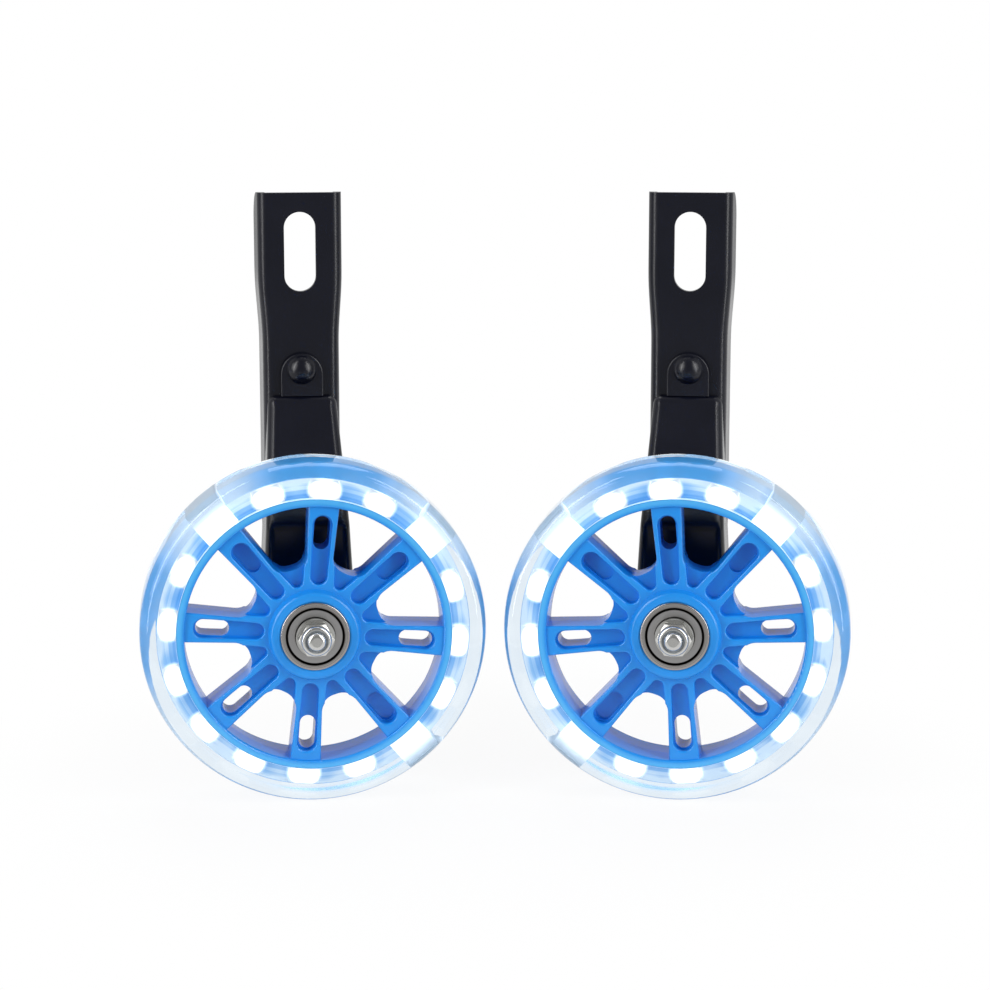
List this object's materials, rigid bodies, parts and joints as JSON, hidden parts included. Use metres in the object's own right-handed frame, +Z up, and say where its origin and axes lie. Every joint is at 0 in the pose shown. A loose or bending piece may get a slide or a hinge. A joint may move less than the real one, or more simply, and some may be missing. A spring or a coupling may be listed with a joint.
{
  "type": "bicycle training wheel set",
  "caption": "Bicycle training wheels: slotted steel channel brackets with riveted arms, each carrying a spoked wheel on ball bearings with lamps cast in its clear tyre.",
  "frame": {"origin": "on the ground under the tyres, half way between the two wheels and at the middle of the set's depth", "axes": "+X from the left wheel to the right one, +Y from the wheels' outer sides towards the bicycle, +Z up"},
  "size_m": [0.2278, 0.0828, 0.1908],
  "materials": {
    "bracket_paint": "gloss black powder coat on pressed steel",
    "zinc_steel": "bright zinc plate",
    "bearing_steel": "ground and pressed bearing steel",
    "insert_nylon": "plain nylon ring",
    "spacer_plastic": "plain moulded",
    "magnet": "bare ferrite",
    "soft_iron": "bare soft iron",
    "hub_plastic": "moulded blue, satin to gloss",
    "tyre_clear": "clear cast polyurethane, polished",
    "carrier_plastic": "translucent blue moulded",
    "strip_film": "flexible circuit film",
    "lamp_lens": "white lamp, lit",
    "coil_white": "white moulded bobbin"
  },
  "bodies": {
    "brackets": {"left_mounting_channel": "bracket_paint", "left_wheel_arm": "bracket_paint", "left_arm_rivet": "bracket_paint", "left_axle_bolt": "zinc_steel", "left_axle_nut": "zinc_steel", "left_nut_insert": "insert_nylon", "left_nut_washer": "zinc_steel", "left_arm_spacer": "zinc_steel", "left_axle_sleeve": "zinc_steel", "left_bearing_spacer": "spacer_plastic", "left_magnet_ring": "magnet", "left_front_bearing_inner_ring": "bearing_steel", "left_rear_bearing_inner_ring": "bearing_steel", "right_mounting_channel": "bracket_paint", "right_wheel_arm": "bracket_paint", "right_arm_rivet": "bracket_paint", "right_axle_bolt": "zinc_steel", "right_axle_nut": "zinc_steel", "right_nut_insert": "insert_nylon", "right_nut_washer": "zinc_steel", "right_arm_spacer": "zinc_steel", "right_axle_sleeve": "zinc_steel", "right_bearing_spacer": "spacer_plastic", "right_magnet_ring": "magnet", "right_front_bearing_inner_ring": "bearing_steel", "right_rear_bearing_inner_ring": "bearing_steel"},
    "left_wheel": {"left_wheel_hub": "hub_plastic", "left_tyre": "tyre_clear", "left_lamp_strip": "strip_film", "left_lamp_carrier": "carrier_plastic", "left_lamps": "lamp_lens", "left_coil_blocks": "coil_white", "left_core_pins": "soft_iron", "left_front_bearing_outer_ring": "bearing_steel", "left_front_bearing_shields": "bearing_steel", "left_rear_bearing_outer_ring": "bearing_steel", "left_rear_bearing_shields": "bearing_steel"},
    "left_front_ball_set": {"left_front_bearing_balls": "bearing_steel", "left_front_bearing_cage": "bearing_steel"},
    "left_rear_ball_set": {"left_rear_bearing_balls": "bearing_steel", "left_rear_bearing_cage": "bearing_steel"},
    "right_wheel": {"right_wheel_hub": "hub_plastic", "right_tyre": "tyre_clear", "right_lamp_strip": "strip_film", "right_lamp_carrier": "carrier_plastic", "right_lamps": "lamp_lens", "right_coil_blocks": "coil_white", "right_core_pins": "soft_iron", "right_front_bearing_outer_ring": "bearing_steel", "right_front_bearing_shields": "bearing_steel", "right_rear_bearing_outer_ring": "bearing_steel", "right_rear_bearing_shields": "bearing_steel"},
    "right_front_ball_set": {"right_front_bearing_balls": "bearing_steel", "right_front_bearing_cage": "bearing_steel"},
    "right_rear_ball_set": {"right_rear_bearing_balls": "bearing_steel", "right_rear_bearing_cage": "bearing_steel"}
  },
  "joints": [
    {"name": "left_wheel_spin", "type": "hinge", "parent": "brackets", "child": "left_wheel", "pos_m": [-0.0584, -0.01904, 0.055], "axis": [-0.1305, 0.9914, 0], "continuous": true},
    {"name": "left_front_ball_set_orbit", "type": "hinge", "parent": "brackets", "child": "left_front_ball_set", "pos_m": [-0.05703, -0.02945, 0.055], "axis": [-0.1305, 0.9914, 0], "continuous": true},
    {"name": "left_rear_ball_set_orbit", "type": "hinge", "parent": "brackets", "child": "left_rear_ball_set", "pos_m": [-0.05977, -0.00863, 0.055], "axis": [-0.1305, 0.9914, 0], "continuous": true},
    {"name": "right_wheel_spin", "type": "hinge", "parent": "brackets", "child": "right_wheel", "pos_m": [0.0584, -0.01904, 0.055], "axis": [0.1305, 0.9914, 0], "continuous": true},
    {"name": "right_front_ball_set_orbit", "type": "hinge", "parent": "brackets", "child": "right_front_ball_set", "pos_m": [0.05703, -0.02945, 0.055], "axis": [0.1305, 0.9914, 0], "continuous": true},
    {"name": "right_rear_ball_set_orbit", "type": "hinge", "parent": "brackets", "child": "right_rear_ball_set", "pos_m": [0.05977, -0.00863, 0.055], "axis": [0.1305, 0.9914, 0], "continuous": true}
  ],
  "couplings": [
    {"joint": "left_front_ball_set_orbit", "follows": "left_wheel_spin", "ratio": 0.6323},
    {"joint": "left_rear_ball_set_orbit", "follows": "left_wheel_spin", "ratio": 0.6323},
    {"joint": "right_front_ball_set_orbit", "follows": "right_wheel_spin", "ratio": 0.6323},
    {"joint": "right_rear_ball_set_orbit", "follows": "right_wheel_spin", "ratio": 0.6323}
  ]
}
